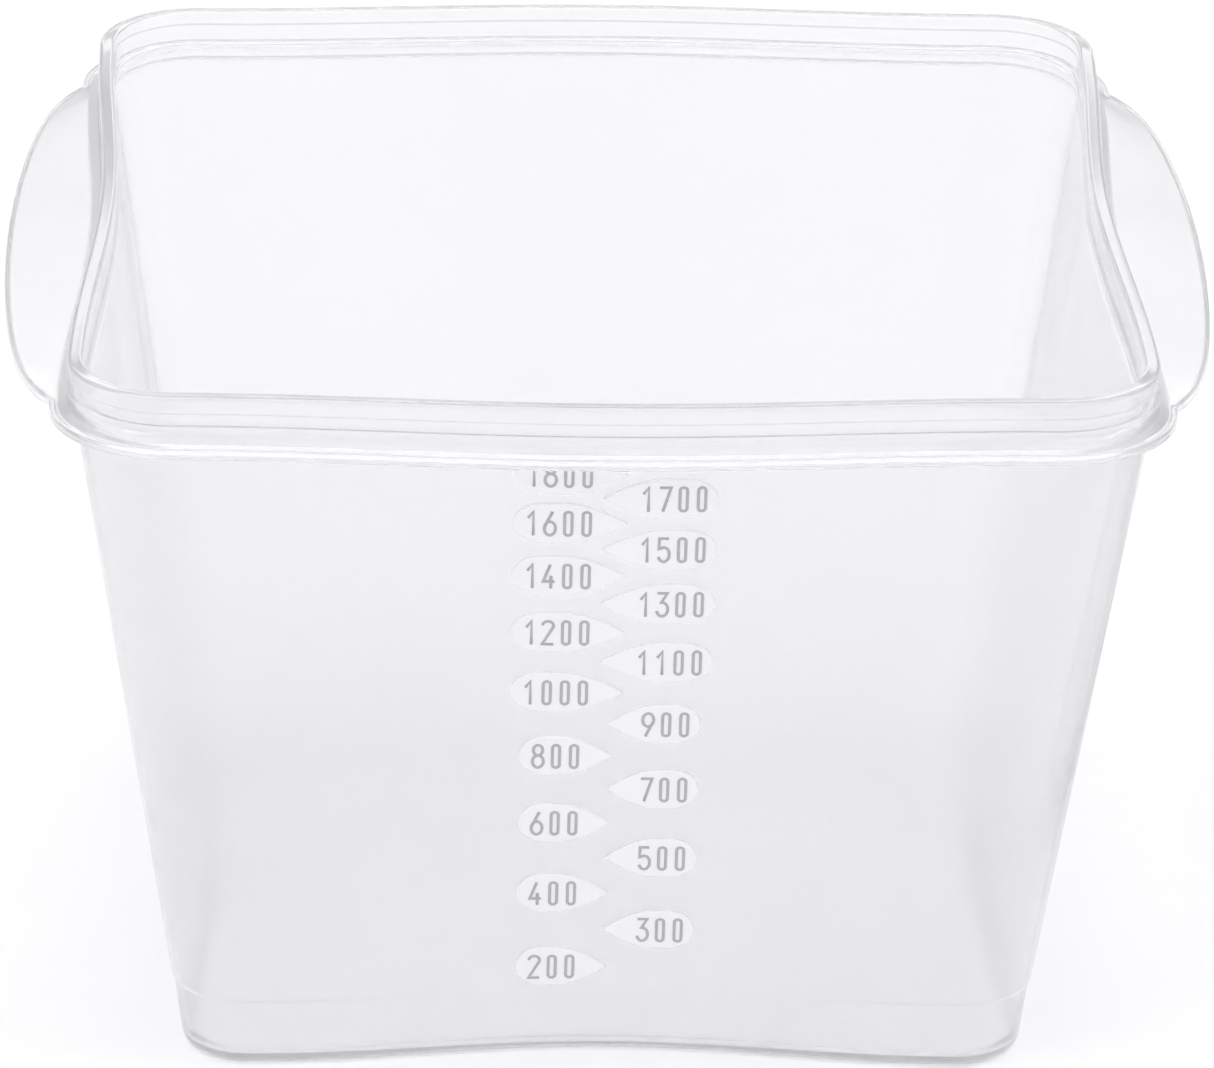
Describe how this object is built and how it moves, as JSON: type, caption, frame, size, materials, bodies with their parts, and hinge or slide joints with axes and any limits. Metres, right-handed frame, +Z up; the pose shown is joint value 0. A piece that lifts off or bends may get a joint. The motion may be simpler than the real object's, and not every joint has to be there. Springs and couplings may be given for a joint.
{
  "type": "snap lid food container",
  "caption": "Square tapered food tub in near-clear plastic with side ears, a snap rim and a raised measuring scale, and its loose snap lid lying upside down beside it.",
  "frame": {"origin": "centre of the tub's flat base, on the surface that it stands on", "axes": "+X from the tub towards the lid that lies beside it, +Z up; the measuring scale faces -Y"},
  "size_m": [0.3706, 0.1648, 0.1128],
  "materials": {
    "tub_plastic": "near-clear polypropylene, glossy, slightly milky",
    "lid_plastic": "translucent polypropylene, glossy, slightly milky"
  },
  "bodies": {
    "tub": {"tub": "tub_plastic"},
    "lid": {"lid": "lid_plastic"}
  },
  "joints": [
    {"name": "lid_turn", "type": "hinge", "parent": "tub", "child": "lid", "pos_m": [0.097, 0, 0.0571], "axis": [0, -1, 0], "range_deg": [0, 180]}
  ]
}
